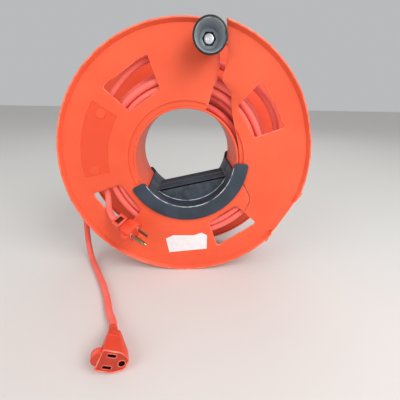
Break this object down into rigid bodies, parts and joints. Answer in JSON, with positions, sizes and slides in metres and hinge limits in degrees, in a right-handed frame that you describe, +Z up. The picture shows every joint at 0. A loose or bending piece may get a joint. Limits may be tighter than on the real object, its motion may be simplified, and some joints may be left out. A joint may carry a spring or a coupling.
{
  "type": "extension cord reel",
  "caption": "Hand-held cord reel with slotted front flange, ride-round grip in the hub and a crank knob, wound with a three-wire extension cord.",
  "frame": {"origin": "on the floor under the middle of the reel and knob, measured without the free cord, where the reel stands on its rims", "axes": "+X to the right of the crank face, +Y from the crank face to the back along the reel's axis, +Z up"},
  "size_m": [0.33, 0.2721, 0.33],
  "materials": {
    "reel_plastic": "moulded coral-orange polypropylene with a soft sheen and fine scuffs",
    "handle_plastic": "moulded blue-black plastic with a fine matte texture",
    "knob_plastic": "moulded black plastic with a satin sheen",
    "screw_steel": "plain zinc-plated steel",
    "zinc_steel": "bright zinc-plated steel",
    "paper": "torn white paper masking tape, bare",
    "cord_jacket": "extruded orange vinyl jacket, softly shiny",
    "plug_vinyl": "moulded orange vinyl",
    "receptacle_vinyl": "moulded orange-red vinyl",
    "blade_brass": "stamped brass, lightly worn"
  },
  "bodies": {
    "reel": {"front_flange": "reel_plastic", "rear_flange": "reel_plastic", "hub_tube": "reel_plastic", "knob_bolt": "zinc_steel", "knob_washer": "screw_steel", "knob_back_washer": "screw_steel", "knob_nut": "screw_steel", "paper_tape": "paper", "cord_core": "cord_jacket", "cord_front_turns": "cord_jacket", "cord_outer_turns": "cord_jacket", "tail_cord": "cord_jacket", "plug_lead": "cord_jacket", "plug_body": "plug_vinyl", "plug_strain_relief": "plug_vinyl", "plug_blades": "blade_brass", "plug_ground_pin": "blade_brass", "receptacle_body": "receptacle_vinyl", "receptacle_strain_relief": "receptacle_vinyl", "receptacle_contacts": "blade_brass", "receptacle_ground_contact": "blade_brass"},
    "handle": {"handle_front": "handle_plastic", "handle_rear": "handle_plastic", "handle_screws": "screw_steel"},
    "knob": {"spin_knob": "knob_plastic"}
  },
  "joints": [
    {"name": "handle_turn", "type": "hinge", "parent": "reel", "child": "handle", "pos_m": [0, 0.015, 0.165], "axis": [0, 1, 0], "continuous": true},
    {"name": "knob_spin", "type": "hinge", "parent": "reel", "child": "knob", "pos_m": [0.02483, -0.045, 0.30583], "axis": [0, 1, 0], "continuous": true}
  ]
}
